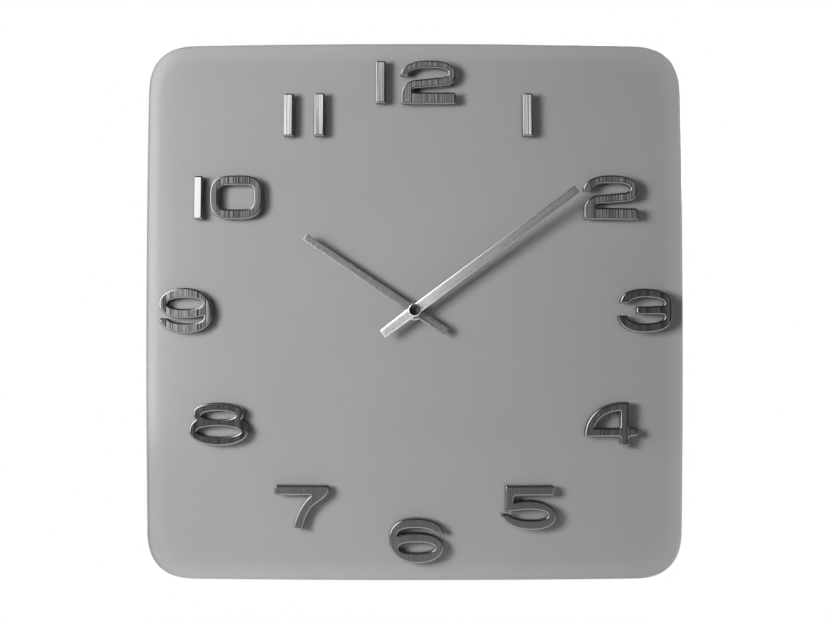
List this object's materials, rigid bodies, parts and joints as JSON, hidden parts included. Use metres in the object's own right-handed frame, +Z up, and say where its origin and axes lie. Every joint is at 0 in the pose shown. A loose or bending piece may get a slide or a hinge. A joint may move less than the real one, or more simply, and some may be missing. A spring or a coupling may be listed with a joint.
{
  "type": "wall clock",
  "caption": "Square wall clock with a domed grey glass face, raised bevelled metal numerals, straight hands and a battery movement.",
  "frame": {"origin": "the nail in the keyhole slot, on the plane of the wall", "axes": "+Z up, -Y out of the face towards the viewer, +Y into the wall, +X to the viewer's right; the hands' axis runs along Y 58 mm below the origin"},
  "size_m": [0.35, 0.0395, 0.35],
  "materials": {
    "painted_glass": "clear glass with grey paint on its back",
    "numeral_metal": "brushed front, polished bevel",
    "hand_metal": "satin",
    "bright_metal": "polished",
    "steel": "plain",
    "brass": "turned",
    "black_plastic": "fine moulded grain",
    "black_gloss": "polished",
    "pale_plastic": "moulded",
    "black_rubber": "matt",
    "foam_tape": "matt foam",
    "copper_wire": "enamelled winding",
    "board": "bare laminate",
    "magnet": "ground",
    "cell": "plain wrapper"
  },
  "bodies": {
    "clock_body": {"glass_face": "painted_glass", "back_housing": "black_plastic", "foam_tape_top": "foam_tape", "foam_tape_left": "foam_tape", "foam_tape_bottom": "foam_tape", "foam_tape_right": "foam_tape", "numeral_1": "numeral_metal", "numeral_2": "numeral_metal", "numeral_3": "numeral_metal", "numeral_4": "numeral_metal", "numeral_5": "numeral_metal", "numeral_6": "numeral_metal", "numeral_7": "numeral_metal", "numeral_8": "numeral_metal", "numeral_9": "numeral_metal", "numeral_10_bar": "numeral_metal", "numeral_10_zero": "numeral_metal", "numeral_11_left": "numeral_metal", "numeral_11_right": "numeral_metal", "numeral_12_bar": "numeral_metal", "numeral_12_two": "numeral_metal", "front_washer": "black_rubber", "fixing_nut": "steel", "centre_bush": "brass", "movement_washer": "black_rubber", "movement_case": "black_plastic", "movement_cover": "black_plastic", "train_bridge": "pale_plastic", "stator": "steel", "coil_core": "steel", "coil": "copper_wire", "circuit_board": "board", "quartz_crystal": "steel", "battery_contact_positive": "steel", "battery_contact_negative": "steel"},
    "minute_work": {"minute_hand": "hand_metal", "cap_nut": "bright_metal", "hub_plug": "black_gloss", "minute_arbor": "steel", "centre_wheel": "pale_plastic"},
    "hour_work": {"hour_hand": "hand_metal", "hour_wheel": "pale_plastic"},
    "motion_wheel": {"minute_wheel": "pale_plastic"},
    "setting_work": {"setting_knob": "pale_plastic"},
    "third_work": {"third_wheel": "pale_plastic"},
    "motor_rotor": {"rotor": "magnet"},
    "battery_cell": {"battery": "cell"}
  },
  "joints": [
    {"name": "minute_turn", "type": "hinge", "parent": "clock_body", "child": "minute_work", "pos_m": [0, -0.036, -0.058], "axis": [0, 1, 0], "continuous": true},
    {"name": "hour_turn", "type": "hinge", "parent": "clock_body", "child": "hour_work", "pos_m": [0, -0.032, -0.058], "axis": [0, 1, 0], "continuous": true},
    {"name": "minute_wheel_turn", "type": "hinge", "parent": "clock_body", "child": "motion_wheel", "pos_m": [0.00679, -0.018, -0.05121], "axis": [0, 1, 0], "continuous": true},
    {"name": "setting_turn", "type": "hinge", "parent": "clock_body", "child": "setting_work", "pos_m": [0.0162, -0.018, -0.0493], "axis": [0, 1, 0], "continuous": true},
    {"name": "third_wheel_turn", "type": "hinge", "parent": "clock_body", "child": "third_work", "pos_m": [-0.00673, -0.0145, -0.05127], "axis": [0, 1, 0], "continuous": true},
    {"name": "rotor_turn", "type": "hinge", "parent": "clock_body", "child": "motor_rotor", "pos_m": [-0.01384, -0.0125, -0.04868], "axis": [0, 1, 0], "continuous": true},
    {"name": "battery_slide", "type": "slide", "parent": "clock_body", "child": "battery_cell", "axis": [0, 1, 0], "range_m": [0, 0.022]}
  ],
  "couplings": [
    {"joint": "hour_turn", "follows": "minute_turn", "ratio": 0.083333},
    {"joint": "minute_wheel_turn", "follows": "minute_turn", "ratio": -0.33333},
    {"joint": "setting_turn", "follows": "minute_turn", "ratio": 1},
    {"joint": "third_wheel_turn", "follows": "minute_turn", "ratio": -7.5},
    {"joint": "rotor_turn", "follows": "minute_turn", "ratio": 60}
  ]
}
